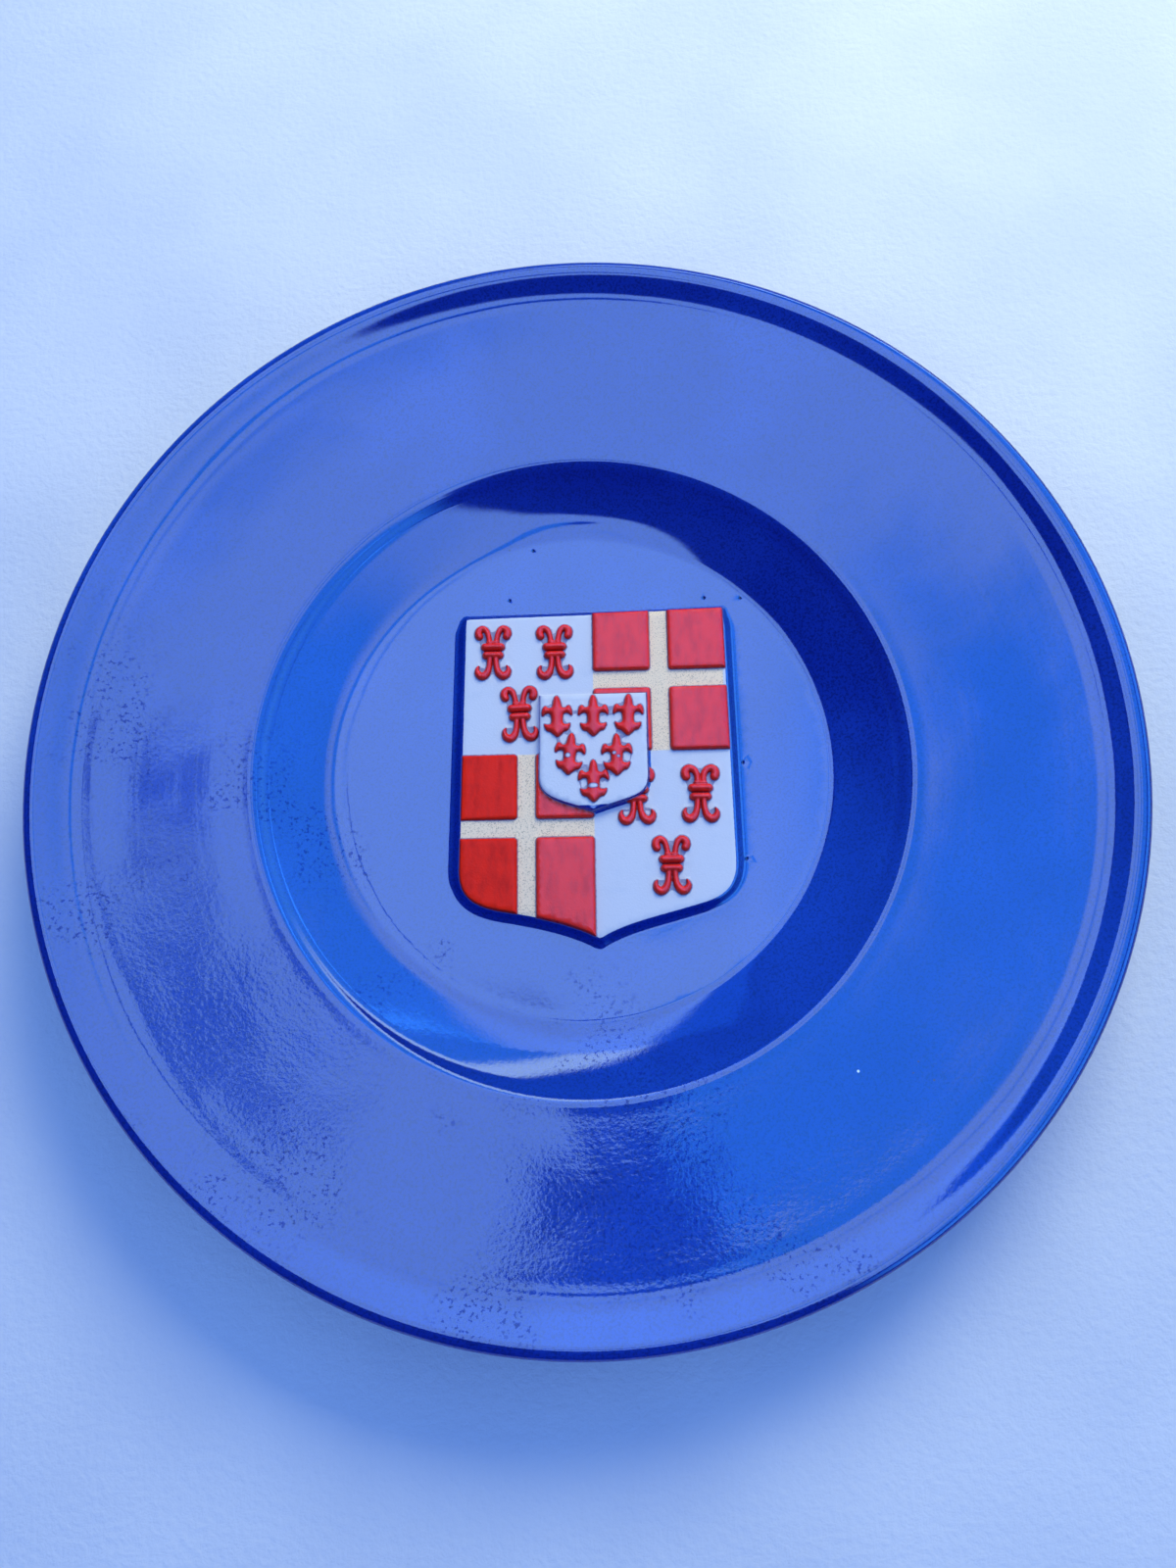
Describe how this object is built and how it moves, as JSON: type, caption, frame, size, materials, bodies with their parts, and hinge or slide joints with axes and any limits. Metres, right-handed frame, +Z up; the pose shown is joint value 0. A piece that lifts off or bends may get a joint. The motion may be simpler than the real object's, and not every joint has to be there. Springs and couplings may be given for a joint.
{
  "type": "armorial display plate",
  "caption": "Round glazed ceramic display plate with a quartered shield of arms in painted relief in its well, standing on a foot ring and made to be hung on a wall or laid flat.",
  "frame": {"origin": "middle of the foot ring's underside, on the surface that the plate lies on", "axes": "+Z up out of the plate's face, +Y towards the top of the shield, +X to the shield's right as seen from the front"},
  "size_m": [0.3, 0.3, 0.0309],
  "materials": {
    "cobalt_glaze": "gloss cobalt glaze, with white, red and gold paint on the shield"
  },
  "bodies": {
    "root": {"armorial_plate": "cobalt_glaze"}
  },
  "joints": []
}
